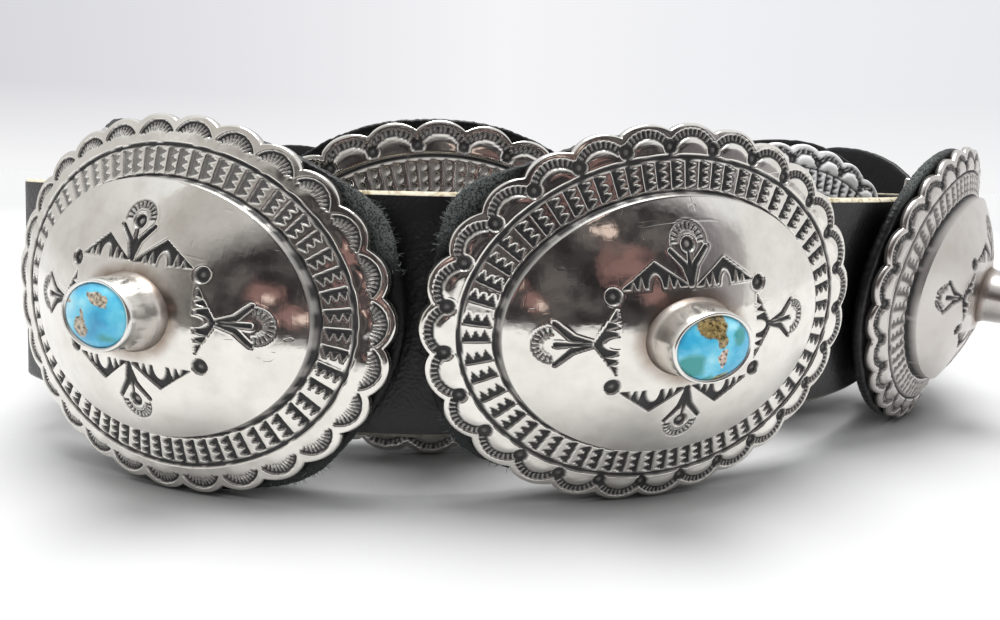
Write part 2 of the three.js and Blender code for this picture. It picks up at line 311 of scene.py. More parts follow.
def make_object(name, points, faces, material, place=None, values=None):
    """A mesh object from points in millimetres, placed by a frame of axes and an origin. It keeps
    its own coordinates as the attribute local, and moved ones as grain, so no two grains agree."""
    own = np.asarray(points, float)
    placed = own if place is None else own @ place[0] + np.array(place[1]) / MM
    mesh = bpy.data.meshes.new(name)
    mesh.from_pydata((placed * MM).tolist(), [], [[int(i) for i in f] for f in faces])
    for key, numbers in (values or {}).items():
        layer = mesh.attributes.new(key, "FLOAT", "POINT")
        layer.data.foreach_set("value", np.asarray(numbers, np.float32))
    slip = np.random.default_rng(sum(map(ord, name)) * 7 + len(own)).uniform(-300, 300, 3)
    for key, numbers in (("local", own), ("grain", own + slip)):
        layer = mesh.attributes.new(key, "FLOAT_VECTOR", "POINT")
        layer.data.foreach_set("vector", (numbers * MM).astype(np.float32).ravel())
    mesh.polygons.foreach_set("use_smooth", [True] * len(mesh.polygons))
    mesh.materials.append(material)
    mesh.validate()
    return put(name, mesh)


def dress(piece, slot, *nodes):
    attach(piece, "root")
    if nodes:
        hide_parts(*nodes)
    return piece


def ellipse(size, count, lift):
    u, v = oval(size, np.arange(count) * 2 * math.pi / count)
    return np.stack([u, v, np.zeros(count) + lift(u, v)], 1)


# Route and the plaques' frames

def route():
    """Stations (x, y, heading, tilt) along the strap's outer face, the plaques' stops and the end."""
    x, y, heading = START[0], START[1], math.radians(START[2])
    tilt = PLAQUES[0]["tilt"]
    stations, stops = [], []

    def advance(length, steps, angle=0, swing=0, tilt_to=None):
        nonlocal x, y, heading, tilt
        tilt_from = tilt
        for k in range(1, steps + 1):
            half_step = (angle / 2 + (swing if k <= steps / 2 else -swing)) / steps
            heading += half_step
            x += length / steps * math.cos(heading)
            y += length / steps * math.sin(heading)
            heading += half_step
            if tilt_to is not None:
                tilt = tilt_from + (tilt_to - tilt_from) * k / steps
            stations.append((x, y, heading, tilt))

    advance(-HOLD, HOLD_STEPS)
    advance(-OUTER_END[0], ARC_STEPS, -math.radians(OUTER_END[1]))
    stations.reverse()
    x, y, heading = START[0], START[1], math.radians(START[2])
    stations.append((x, y, heading, tilt))
    for i, row in enumerate(PLAQUES):
        stops.append((x, y, heading, row["tilt"]))
        last = i + 1 == len(PLAQUES)
        hold = CLASP_HOLD if last else HOLD
        tilt_to = 0 if last else PLAQUES[i + 1]["tilt"]
        angle, swing = math.radians(row["turn"]), math.radians(row["swing"])
        advance(HOLD + row["late"], HOLD_STEPS)
        advance(row["run"] - HOLD - hold, ARC_STEPS, angle, swing, tilt_to)
        advance(hold - row["late"], HOLD_STEPS)
    return stations, stops, (x, y, heading)


def directions(heading, tilt):
    """Along the strap, up along its lean, and out of its face."""
    t = math.radians(tilt)
    out = np.array([math.sin(heading) * math.cos(t), -math.cos(heading) * math.cos(t), -math.sin(t)])
    along = np.array([math.cos(heading), math.sin(heading), 0])
    return along, np.cross(out, along), out


def plaque_place(number, stop, roll):
    """The plaque's axes, and its origin from where the CAD stone lies."""
    along, up, out = directions(*stop[2:])
    r = math.radians(roll)
    axes = np.array([along * math.cos(r) + up * math.sin(r), up * math.cos(r) - along * math.sin(r), out])
    shoulder = (STONE[0] * SHOULDER_SHARE, STONE[1] * SHOULDER_SHARE)
    corners = np.concatenate([
        ellipse(STONE, 12, lambda u, v: STONE_BASE),
        ellipse(STONE, 12, lambda u, v: STONE_EDGE),
        ellipse(shoulder, 12, lambda u, v: STONE_TOP - SHOULDER_DROP),
        [[0, 0, STONE_TOP]],
    ])
    low = (corners @ axes).min(0) * MM
    return axes, np.array(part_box("stone_" + number)[0]) - low


# Stampwork

class Relief:
    """What the stamps leave at the points (u, v): how deep, how high the burr and the boss, how dark."""

    def __init__(self, u, v):
        self.u, self.v = u, v
        self.cut, self.burr, self.dark, self.boss = (np.zeros(u.shape) for _ in range(4))

    def seen_from(self, middle, way):
        """The points seen from a middle: how far along a way, and how far to the left of it."""
        du, dv = self.u - middle[0], self.v - middle[1]
        return du * way[0] + dv * way[1], dv * way[0] - du * way[1]

    def press(self, distance, depth, dark=1.0, burr=0.07):
        self.cut = np.maximum(self.cut, depth * ramp(0.08, -0.14, distance))
        self.burr = np.maximum(self.burr, burr * np.exp(-(((distance - 0.2) / 0.14) ** 2)))
        self.dark = np.maximum(self.dark, dark * ramp(0.08, -0.06, distance))

    def height(self):
        return self.boss + self.burr * (1 - ramp(0.0, 0.1, self.cut)) - self.cut

    def dot(self, du, dv, radius, pin, pin_dark=0.6):
        r = np.hypot(du, dv)
        self.press(r - radius, 0.55, burr=0.05)
        spot = ramp(pin + 0.16, pin - 0.1, r)
        self.cut = self.cut - 0.25 * spot
        self.dark = self.dark * (1 - (1 - pin_dark) * spot)


def stroke(u, v, points, radii):
    """Distance to a line through points whose half width runs from radius to radius."""
    best = np.full(np.shape(u), 1e9)
    for (ax, ay), (bx, by), ra, rb in zip(points, points[1:], radii, radii[1:]):
        length = (bx - ax) ** 2 + (by - ay) ** 2
        t = np.clip(((u - ax) * (bx - ax) + (v - ay) * (by - ay)) / length, 0, 1)
        reach = np.hypot(u - ax - t * (bx - ax), v - ay - t * (by - ay)) - (ra + t * (rb - ra))
        best = np.minimum(best, reach)
    return best


def wedge(x, y, apex, half):
    """Distance to a triangle that stands on y = 0, its apex at (apex x, height)."""
    top_x, top_y = apex
    right = (top_y * (x - half) + (half - top_x) * y) / math.hypot(top_y, half - top_x)
    left = (-top_y * (x + half) + (half + top_x) * y) / math.hypot(top_y, half + top_x)
    return np.maximum(-y, np.maximum(right, left))


def nearest(x, pitch, count):
    """Middle of the nearest of count things in a row that is centred on 0."""
    last = (count - 1) / 2
    return (np.clip(np.round(x / pitch + last), 0, count - 1) - last) * pitch


def arc(r, away, radius, half_width, spread):
    """Distance to an arc, from how far out the points lie and at what angles."""
    return np.maximum(np.abs(r - radius) - half_width, (np.abs(away) - spread) * r)


def fan(relief, x, y):
    """Short radial slots between two arcs round (0, 0), open towards the middle of the plaque."""
    r, away = np.hypot(x, y), np.arctan2(y, x)
    middle, half = (FAN_INNER + FAN_OUTER) / 2, (FAN_OUTER - FAN_INNER) / 2
    ticks = np.abs(away - nearest(away, 2 * FAN_SPREAD / FAN_SLOTS, FAN_SLOTS)) * r - 0.21
    relief.press(np.maximum(ticks, np.abs(r - middle) - half), 0.34, burr=0.03)
    relief.press(arc(r, away, FAN_OUTER + 0.08, 0.11, FAN_SPREAD + 0.05), 0.2, dark=0.9, burr=0.06)
    relief.press(arc(r, away, FAN_INNER - 0.3, 0.1, FAN_SPREAD * 0.8), 0.16, dark=0.7, burr=0.02)


def blossom(relief, root, degrees, dot_at, fan_at, petals, lens):
    """A stamped flower: two curled petals, a stem and a dot or a lens drop, and a fan of slots."""
    x, y = relief.seen_from(root, turn(degrees))
    for side, (reach, spread) in zip((-1, 1), petals):
        line = [(0.2, side * 0.35), (reach * 0.55, side * spread * 0.3), (reach, side * spread)]
        relief.press(stroke(x, y, line, [0.2, 0.5, 0.38]), 0.4)
    if lens:
        relief.press(stroke(x, y, [(0.3, 0), (lens, 0)], [0.14, 0.46]), 0.36)
    else:
        relief.press(stroke(x, y, [(0, 0), (dot_at * 0.8, 0)], [0.6, 0.26]), 0.4)
        relief.dot(x - dot_at, y, 1.2, 0.4)
    fan(relief, x - fan_at, y)


def triangle(relief, middle, degrees, apex):
    """A flat triangle with bright teeth left standing along its base, an oval one in the middle."""
    x, y = relief.seen_from(middle, turn(degrees - 90))
    body = wedge(x, y, apex, 5.6)
    for at, height in TEETH:
        body = np.maximum(body, -wedge(x - at, y + 0.05, (0, height), 0.5))
    big = (np.hypot(x / 1.2, y / 2.3) - 1) * 1.2
    relief.press(np.maximum(body, -big), 0.4)


def motif(relief, rng):
    """The dome's stamps, the dots and triangles a little out of place as a hand leaves them."""
    for place in CORNER_DOTS:
        u, v = place + rng.uniform(-0.12, 0.12, 2)
        relief.dot(relief.u - u, relief.v - v, 1.3, 0.34, 0.8)
    for middle, degrees, apex in TRIANGLES:
        triangle(relief, middle + rng.uniform(-0.12, 0.12, 2), degrees, apex)
    for row in BLOSSOMS:
        blossom(relief, *row)


def rim_angle(share):
    """Angle at a share of the way round the outline, from its bottom on."""
    fine = -math.pi / 2 + np.linspace(0, 2 * math.pi, 7201)
    length = np.concatenate([[0], np.cumsum(np.hypot(*np.diff(oval(HALF, fine))))])
    return np.interp(np.asarray(share) % 1 * length[-1], length, fine)


def scallop_frames(count, phase, rng):
    """Each scallop's tip and its way outwards, with a hand's small errors."""
    angle = rim_angle((np.arange(count) + 1.0 + phase) / count)
    out = oval((1 / HALF[0], 1 / HALF[1]), angle)
    out /= np.hypot(*out)
    swing = rng.uniform(-0.03, 0.03, count)
    out = np.stack([out[0] - swing * out[1], out[1] + swing * out[0]])
    return oval(HALF, angle) + rng.uniform(-0.12, 0.12, (count, 2)).T, out


def rim_stamps(relief, row, scallop, inward, rng):
    """The stamps of the scallops. scallop is the number of each column's scallop."""
    tip, out = (place[:, scallop] for place in scallop_frames(row["scallops"], row["phase"], rng))
    dotted = row["rim"] == "dot"
    wide = row["groove"] / PLAIN["groove"]
    middle, radius = (5.85 * wide, 4.2 * wide) if dotted else (5.2, 3.85)
    outward, sideways = relief.seen_from(tip - middle * out, out)
    r, away = np.hypot(outward, sideways), np.arctan2(sideways, outward)
    if dotted:
        lateral = away * radius
        ticks = np.abs(lateral - nearest(lateral, 0.78 * wide, 10)) - 0.29
        relief.press(np.maximum(ticks, np.abs(r - radius - 0.12) - 0.6 * wide), 0.4, burr=0.02)
        relief.press(arc(r, away, radius - 0.52, 0.2, 0.98), 0.34, burr=0.03)
        relief.press(arc(r, away, radius, 0.72, 0.92), 0.14, dark=0.4, burr=0.05)
        relief.boss = 0.34 / wide ** 4 * ramp(3.8 * wide, 2.4 * wide, r) * ramp(6.0 * wide, 3.6, inward)
    else:
        relief.press(arc(r, away, radius, 0.25, 1.12), 0.38, burr=0.05)
        relief.press(arc(r, away, radius - 0.4, 0.5, 1.02), 0.1, dark=0.55, burr=0.02)
        length = 0.7 + 1.15 * np.clip(1 - (away / 1.2) ** 2, 0, 1)
        taper = 0.29 - 0.2 * np.clip((radius - r) / length, 0, 1)
        lateral = away * (radius - 0.4)
        ticks = np.abs(lateral - nearest(lateral, 0.74, 10)) - taper
        relief.press(np.maximum(ticks, np.maximum(r - radius, radius - length - r)), 0.36, burr=0.03)
        relief.boss = 0.14 * ramp(2.9, 1.2, r) * ramp(6.0, 3.8, inward)


def notch_dots(relief, row, rng):
    """Dots inside the notches, on an ellipse of their own."""
    count = row["scallops"]
    angle = rim_angle((np.arange(count) + 0.5 + row["phase"]) / count)
    inward = 3.9 * row["groove"] / PLAIN["groove"]
    places = oval((HALF[0] - inward, HALF[1] - inward), angle) + rng.uniform(-0.15, 0.15, (count, 2)).T
    u, v = places[:, np.round(np.arange(relief.u.shape[1]) / row["columns"]).astype(int) % count]
    relief.dot(relief.u - u, relief.v - v, 1.22, 0.34, 0.86)


def comb_stamps(relief, row, rng):
    """A band of bars with three teeth each, spaced equally in angle, teeth pointing clockwise."""
    wide = (row["moat"] - row["groove"]) / (PLAIN["moat"] - PLAIN["groove"])
    middle = semi_axes((row["moat"] + row["groove"]) / 2 - 0.1)
    polar = np.arange(COMBS) * 2 * math.pi / COMBS + rng.uniform(-0.008, 0.008, COMBS)
    reach = 1 / np.hypot(np.cos(polar) / middle[0], np.sin(polar) / middle[1])
    place = oval((reach, reach), polar)
    out = place / np.array(middle)[:, None] ** 2
    out /= np.hypot(*out)
    own = np.round(np.arctan2(relief.v, relief.u) / (2 * math.pi / COMBS)).astype(int)
    for step in (-1, 0, 1):
        k = (own + step) % COMBS
        radial, left = relief.seen_from(place[:, k], out[:, k])
        bar = np.maximum(np.abs(left) - row["bar"], np.abs(radial) - 2.15 * wide)
        teeth = wedge(radial - nearest(radial, 1.4 * wide, 3), -left - 0.3, (0, row["tooth"]), 0.7 * wide)
        relief.press(np.minimum(bar, teeth), 0.4, burr=0.02)


def semi_axes(w):
    """Semi-axes of the oval that lies w inside the outline at its sides."""
    return HALF[0] - w, HALF[1] - np.interp(w, INSET_SIDE, INSET_TOP)


def rim_rows(count, foot):
    """Rows from the edge to the dome's foot: how far in, and how far the round edge drops."""
    inward = np.concatenate([[0, 0.07, 0.22, 0.42], np.linspace(0.66, foot, count)])
    drop = np.zeros(len(inward))
    drop[:3] = 0.42, 0.2, 0.06
    return inward[:, None], drop[:, None]


def plaque_mesh(row, seed):
    """The stamped sheet of one plaque, closed behind."""
    rng = np.random.default_rng(seed)
    columns, scallops, groove, moat = (row[key] for key in ("columns", "scallops", "groove", "moat"))
    foot = moat + DOME_FOOT
    dome = semi_axes(foot)
    total = scallops * columns
    start = (0.5 + row["phase"]) / scallops
    angle = rim_angle(np.arange(total) / total + start)
    scallop = np.arange(total) // columns
    lateral = (np.arange(total) % columns / columns - 0.5) * OUTLINE_LENGTH / scallops
    depth = rng.uniform(0.85, 1.15, scallops)[scallop]
    notch = depth * (SCALLOP_ROUND - np.sqrt(SCALLOP_ROUND ** 2 - lateral ** 2))
    inward, drop = rim_rows(RIM_ROWS[columns], foot)
    moved = inward + notch * np.clip(1 - inward / 4, 0, 1)
    u, v = oval(semi_axes(moved), angle)

    relief = Relief(u, v)
    rim_stamps(relief, row, scallop, moved, rng)
    if row["rim"] == "dot":
        notch_dots(relief, row, rng)
    ragged = Waves(seed + 70, 3.4).at(u, v) * 0.07
    relief.press(np.abs(moved - groove) - 0.4 + ragged, 0.38, burr=0.04)
    comb_stamps(relief, row, rng)
    border = ramp(0.3, 0.7, moved - groove) * ramp(-0.3, -0.7, moved - moat)
    # The border's stamps are made less dark; on the tenth plaque this is a painted reflection of the bright
    # room in its combs
    for middle, width, share in row["lightened"]:
        near = np.exp(-((apart(np.degrees(angle), middle) / width) ** 2))
        relief.dark = relief.dark * (1 - share * border * near)
    relief.press(np.abs(moved - moat) - 0.3 + ragged, 0.36, burr=0.02)
    # Patina and painted shade: the dome's wall above the moat is darkened so it shows no bright band
    wall = SILVERS[row["silver"]]["wall"] * ramp(-0.12, 0.03, moved - moat)
    relief.dark = np.maximum(relief.dark, wall)
    waves = Waves(seed + 50, 17)
    sway = waves.at(u, v) * 0.05
    lift = STEP * ramp(0.03, 0.48, moved - moat)
    height = base(u, v) - drop + lift + ramp(0.3, 0.9, moved) * relief.height() + sway

    # Back, with four columns for each scallop
    made = Rings()
    back = lambda x, y: base(x, y) - SHEET
    hollow = lambda x, y: domed(x, y, dome) - SHEET
    few = rim_angle(np.arange(scallops * 4) / (scallops * 4) + start)
    made.pole((0, 0, hollow(0, 0)))
    for size, lift_at in (
        ((dome[0] * 0.35, dome[1] * 0.35), hollow),
        ((dome[0] * 0.7, dome[1] * 0.7), hollow),
        ((dome[0] - 0.8, dome[1] - 0.8), hollow),
        (semi_axes(moat - 0.5), back),
        (semi_axes(groove), back),
        (BACK_RIM, back),
    ):
        x, y = oval(size, few)
        made.ring(np.stack([x, y, lift_at(x, y)], 1))
    made.ring(np.stack([u[0], v[0], back(u[0], v[0]) + sway[0]], 1), np.full(total, 0.25))
    made.sheet(u, v, height, relief.dark)

    # Dome, every second column
    outside, stamped, inside = DOME_ROWS[columns]
    shares = np.concatenate([
        [0.994, 0.98],
        np.linspace(0.98, 0.86, outside)[1:],
        np.linspace(0.86, 0.12, stamped + 1)[1:],
        np.linspace(0.12, 0, inside + 1)[1:],
    ])[:, None]
    u, v = oval([hole + (edge - hole) * shares for hole, edge in zip(UNDER_BEZEL, dome)], angle[::2])
    relief = Relief(u, v)
    motif(relief, rng)
    made.sheet(u, v, domed(u, v, dome) + relief.height() + waves.at(u, v) * 0.05, relief.dark)
    made.pole((0, 0, domed(0, 0, dome)))
    points, faces, dark = made.arrays()
    points[:, 1] = (points[:, 1] + HALF[1]) * row["taller"] - HALF[1]
    return points, faces, dark


def bezel_mesh(seed):
    """A tall oval collar, its lip rolled over the stone's edge."""
    count = 120
    wobble = Waves(seed, 9.0)
    # How far out of the foot, share of the way from the dome up to the lip, how far up more, how dark
    profile = [
        (0.3, 0.0, -0.12, 0.9), (0.12, 0.0, 0.1, 0.6), (-0.2, 0.05, 0.3, 0.25), (-0.42, 0.1, 0.5, 0.1),
        (-0.52, 0.25, 0.0, 0.05), (-0.62, 0.5, 0.0, 0.0), (-0.76, 0.75, 0.0, 0.0), (-0.86, 0.9, 0.0, 0.0),
        (-0.98, 0.97, 0.0, 0.0), (-1.15, 1.0, 0.0, 0.0), (-1.45, 0.99, 0.0, 0.0), (-1.7, 0.965, 0.0, 0.25),
        (-1.82, 0.93, 0.0, 1.0),
    ]
    made = Rings()
    made.pole((0, 0, BEZEL_BOTTOM))
    made.ring(ellipse(BEZEL_UNDER, count, lambda u, v: BEZEL_BOTTOM))
    for out, share, rise, dark in profile:
        ring = ellipse((BEZEL_FOOT[0] + out, BEZEL_FOOT[1] + out * 0.82), count, domed)
        ring[:, 2] = (ring[:, 2] + rise) * (1 - share) + BEZEL_TOP * share
        dent = wobble.at(ring[:, 0], ring[:, 1]) * 0.05 * share
        ring[:, 0] *= 1 + dent / 8
        ring[:, 1] *= 1 + dent / 6.5
        ring[:, 2] += wobble.at(ring[:, 1], ring[:, 0]) * 0.04 * share
        made.ring(ring, np.full(count, dark))
    made.ring(ellipse(BEZEL_INSIDE, count, lambda u, v: BEZEL_SEAT), np.full(count, 1.0))
    made.pole((0, 0, BEZEL_SEAT), 1.0)
    return made.arrays()


def stone_mesh(seed):
    """A low cabochon."""
    count = 96
    sway = Waves(seed, 5.0)
    start = STONE_EDGE - 0.25
    made = Rings()
    made.pole((0, 0, STONE_BASE))
    made.ring(ellipse(CABOCHON_FOOT, count, lambda u, v: STONE_BASE))
    made.ring(ellipse(CABOCHON, count, lambda u, v: STONE_EDGE - 0.9))
    for share in (0.995, 0.97, 0.93, 0.87, 0.79, 0.69, 0.57, 0.44, 0.3, 0.15):
        rise = (1 - share ** 2.4) ** 0.62 * (STONE_TOP - start)
        size = (CABOCHON[0] * share, CABOCHON[1] * share)
        made.ring(ellipse(size, count, lambda u, v: start + rise + sway.at(u, v) * 0.03))
    made.pole((0, 0, STONE_TOP))
    return made.arrays()


# Leather

def along_edge(row, degrees, column, power=2):
    """The oval's bulges (column 2), or how rough they are (column 3), summed at angles of its edge."""
    total = np.zeros(np.shape(degrees))
    for bulge in row["bulges"]:
        total = total + bulge[column] * np.exp(-((apart(degrees, bulge[0]) / bulge[1]) ** power))
    return total


def backing_point(row, degrees, inward, depth, spread=0.0):
    """A point of the leather oval, seen in its plaque's frame."""
    bow = SAG[0] * HALF[0] ** 2 / HALF[1] ** 2 - SAG[1]
    grown = along_edge(row, degrees, 2) * np.clip(1 - inward / 10, 0, 1) - inward + spread
    x, y = oval((BACKING[0] + grown, BACKING[1] + grown), np.radians(degrees))
    return np.stack([x + row["leather"][0], y + row["leather"][1], bow * y * y - BACKING_FRONT - depth], 1)


def backing_mesh(row, seed):
    """The leather oval behind a plaque: smooth face, and a suede edge that is cut by hand."""
    rng = np.random.default_rng(seed)
    count = OVAL_STEPS[row["columns"]]
    degrees = np.arange(count) * 360 / count
    wave = Waves(seed, 22).at(*oval(HALF, np.radians(degrees)))
    ragged = wave * 0.14 - 0.2 + rng.uniform(-0.1, 0.1, count)
    suede = np.clip(along_edge(row, degrees, 3, 4), 0, 1)
    made = Rings()
    made.pole((0, 0, -BACKING_FRONT - BACKING_THICK))
    for inward, depth, rough in (
        (30, BACKING_THICK, 0), (14, BACKING_THICK, 0), (5, BACKING_THICK, 0.03), (1.5, BACKING_THICK, 0.06),
        (0.4, BACKING_THICK - 0.12, 0.06), (0.05, BACKING_THICK - 0.5, 0.05), (0.0, 1.0, 0.05),
        (0.1, 0.45, 0.05), (0.45, 0.1, 0.06), (1.2, 0.0, 0.06), (3, 0, 0.05), (8, 0, 0.03), (20, 0, 0),
    ):
        fuzz = depth + rng.uniform(-rough, rough, count)
        points = backing_point(row, degrees, inward, fuzz, ragged * max(0, 1 - inward / 10))
        made.ring(points, suede * (1 - min(1, inward / 6)))
    made.pole((0, 0, -BACKING_FRONT))
    return made.arrays()


def fibre_mesh(row, seed):
    """Loose suede fibres along the oval's bulges, each a bent cone on three sides."""
    rng = np.random.default_rng(seed)
    bottom, _, *sides = tube_faces(3, 3)
    cone = [bottom, *sides, *([6 + k, 6 + (k + 1) % 3, 9] for k in range(3))]
    points, faces = [], []
    while len(points) < FIBRES * 10:
        degrees = rng.uniform(0, 360, 1)
        bulge = along_edge(row, degrees, 2)[0]
        if bulge < 0.3 or rng.random() > bulge / 2.5:
            continue
        depth = rng.uniform(0.1, BACKING_THICK)
        root = backing_point(row, degrees, rng.uniform(0.2, 1.2), depth)[0]
        tip = backing_point(row, degrees, 0, depth, 6.0)[0]
        way = (tip - root) / np.linalg.norm(tip - root) + rng.normal(0, 0.75, 3) * (1, 1, 0.8)
        way /= np.linalg.norm(way)
        curl = np.cross(way, rng.normal(0, 1, 3)) * 0.3
        length = rng.uniform(0.4, 1.5)
        side = np.cross(way, (0.3, 0.2, 1))
        side /= np.linalg.norm(side)
        other = np.cross(way, side)
        faces += [[len(points) + k for k in face] for face in cone]
        for share, radius in ((0, 0.055), (0.4, 0.045), (0.75, 0.03)):
            middle = root + (way * share + curl * share ** 2) * length
            for k in range(3):
                a = 2 * math.pi * k / 3
                points.append(middle + (side * math.cos(a) + other * math.sin(a)) * radius)
        points.append(root + (way + curl) * length)
    return np.array(points), faces


def tube_faces(n, rings):
    """Faces of a closed tube: rings of n points each, and its two ends."""
    last = (rings - 1) * n
    faces = [list(range(n))[::-1], list(range(last, last + n))]
    for a in range(0, last, n):
        faces += [[a + k, a + (k + 1) % n, a + n + (k + 1) % n, a + n + k] for k in range(n)]
    return faces


def prism_piece(name, outline, height, bevel, material, place):
    """An outline pushed half the height up and down, with rounded edges."""
    points = [(x, y, z) for z in (-height / 2, height / 2) for x, y in outline]
    piece = make_object(name, points, tube_faces(len(outline), 2), material, place)
    rounding = piece.modifiers.new("rounding", "BEVEL")
    rounding.width = bevel * MM
    rounding.segments = 3
    rounding.limit_method = "ANGLE"
    rounding.harden_normals = True
    return piece


def loop_piece(number, place, material):
    """The flat wire behind a plaque that the strap runs through."""
    bar = -STRAP_FRONT - STRAP_THICK - LOOP_GAP
    inner = LOOP_INNER / 2
    outer = inner + LOOP_METAL
    root = base(0, outer) - SHEET / 2
    outline = [
        (inner, root), (inner, bar), (-inner, bar), (-inner, root),
        (-outer, root), (-outer, bar - LOOP_METAL), (outer, bar - LOOP_METAL), (outer, root),
    ]
    (along, up, out), origin = place
    axes = np.array([up, out, along])
    return prism_piece("loop_" + number, outline, LOOP_WIDTH, 0.45, material, (axes, origin))


def strap_point(station, depth, height):
    """A point of the strap, from the middle line of its outer face."""
    x, y, heading, tilt = station
    _, up, out = directions(heading, tilt)
    return np.array([x, y, STRAP_MIDDLE]) + out * depth + up * height


def strap_piece(stations, shift, material):
    """The strap: grained faces, a raw line where its upper edge is bevelled, the lower edge nearly black, as
    painted shade.
    """
    half = STRAP_HEIGHT / 2
    levels = np.linspace(half - 0.72, -half + 0.72, STRAP_LEVELS)
    # How deep, how far from the edge and how raw
    corner = [(-0.04, 0.62, 1.0), (-0.4, 0.0, 1.0), (0.3 - STRAP_THICK, 0.0, 0.8), (-STRAP_THICK, 0.25, 0.4)]
    section = [(0.0, y, 0.0) for y in levels]
    # The lower corners take only a small share of the raw colour: painted shade on the strap's underside
    # edge
    section += [(depth, rise - half, raw * UNDER_EDGE_RAW_IN_SHADE) for depth, rise, raw in corner]
    section += [(-STRAP_THICK, y, 0.0) for y in levels[::-1]]
    section += [(depth, half - rise, raw) for depth, rise, raw in corner[::-1]]
    sway = Waves(7, 40)
    points = []
    travelled, last = 0.0, stations[0]
    for station in stations:
        travelled += math.dist(station[:2], last[:2])
        last = station
        for depth, height, _ in section:
            points.append(strap_point(station, depth + sway.at(travelled, height) * 0.1, height))
    faces = tube_faces(len(section), len(stations))
    edge = [raw for _, _, raw in section] * len(stations)
    return make_object("leather_strap", np.array(points) + shift / MM, faces, material, values={"raw": edge})


def clasp_piece(end, shift, material):
    """Channel crimped over the strap's end, its tongue and the hook folded from it."""
    outside = -CLASP_GAP - CLASP_METAL
    inside = STRAP_THICK + CLASP_GAP + CLASP_METAL
    tongue = (STRAP_THICK - CLASP_METAL) / 2
    web = CLASP_GAP + CLASP_METAL
    heel = web + TONGUE
    hook = tongue + CLASP_METAL + HOOK_GAP
    outline = [
        (-CLASP_GRIP, outside), (web, outside), (web, tongue), (heel + CLASP_METAL, tongue),
        (heel + CLASP_METAL, hook + CLASP_METAL), (heel - HOOK, hook + CLASP_METAL), (heel - HOOK, hook),
        (heel, hook), (heel, tongue + CLASP_METAL), (web, tongue + CLASP_METAL), (web, inside),
        (-CLASP_GRIP, inside), (-CLASP_GRIP, inside - CLASP_METAL), (CLASP_GAP, inside - CLASP_METAL),
        (CLASP_GAP, -CLASP_GAP), (-CLASP_GRIP, -CLASP_GAP),
    ]
    x, y, heading = end
    along, up, out = directions(heading, 0)
    axes = np.array([along, -out, up])
    origin = np.array([x, y, STRAP_MIDDLE]) * MM + shift
    return prism_piece("clasp_end", outline, CLASP_HEIGHT, 0.4, material, (axes, origin))


# Materials

class Nodes:
    """Short names for the node tree of one material or world."""

    def __init__(self, name, owner=None):
        self.material = owner or bpy.data.materials.new(name)
        self.material.use_nodes = True
        self.tree = self.material.node_tree
        self.shader = self.tree.nodes.get("Principled BSDF")

    def add(self, kind, **inputs):
        node = self.tree.nodes.new(kind)
        for key, value in inputs.items():
            self.set(node.inputs[key.replace("_", " ")], value)
        return node

    def set(self, socket, value):
        if isinstance(value, bpy.types.NodeSocket):
            self.tree.links.new(value, socket)
        else:
            socket.default_value = value

    def value(self, key, value):
        self.set(self.shader.inputs[key], value)

    def attribute(self, name, output="Fac"):
        node = self.tree.nodes.new("ShaderNodeAttribute")
        node.attribute_name = name
        return node.outputs[output]

    def stage_place(self, output="Object"):
        return self.tree.nodes.new("ShaderNodeTexCoord").outputs[output]

    def noise(self, scale, detail, where=None):
        where = where or self.attribute("grain", "Vector")
        node = self.add("ShaderNodeTexNoise", Vector=where, Scale=scale, Detail=detail, Roughness=0.55)
        return node.outputs["Fac"]

    def scratches(self, scale, detail, turned, stretch, start, end):
        """Long thin marks, 0 up to the noise value start and 1 from end on."""
        where = self.attribute("grain", "Vector")
        drawn = self.add("ShaderNodeMapping", Vector=where, Rotation=(0, 0, turned), Scale=stretch)
        return self.ramp(self.noise(scale, detail, drawn.outputs["Vector"]), [(start, 0.0), (end, 1.0)])

    def vector(self, operation, a, b=(0, 0, 0)):
        node = self.tree.nodes.new("ShaderNodeVectorMath")
        node.operation = operation
        self.set(node.inputs[0], a)
        self.set(node.inputs[1], b)
        return node.outputs

    def math(self, operation, a, b=0.0, clamp=False):
        node = self.tree.nodes.new("ShaderNodeMath")
        node.operation = operation
        node.use_clamp = clamp
        self.set(node.inputs[0], a)
        self.set(node.inputs[1], b)
        return node.outputs[0]

    def ramp(self, factor, stops):
        node = self.tree.nodes.new("ShaderNodeValToRGB")
        elements = node.color_ramp.elements
        while len(elements) < len(stops):
            elements.new(0.5)
        for element, (place, colour) in zip(elements, stops):
            element.position = place
            element.color = (*colour, 1) if isinstance(colour, tuple) else (colour, colour, colour, 1)
        self.set(node.inputs[0], factor)
        return node.outputs[0]

    def mix(self, factor, a, b):
        node = self.tree.nodes.new("ShaderNodeMix")
        node.data_type = "RGBA"
        self.set(node.inputs[0], factor)
        self.set(node.inputs[6], (*a, 1) if isinstance(a, tuple) else a)
        self.set(node.inputs[7], (*b, 1) if isinstance(b, tuple) else b)
        return node.outputs[2]

    def bump(self, height, depth, after=None):
        node = self.add("ShaderNodeBump", Height=height, Distance=depth * MM)
        if after:
            self.set(node.inputs["Normal"], after)
        return node.outputs["Normal"]


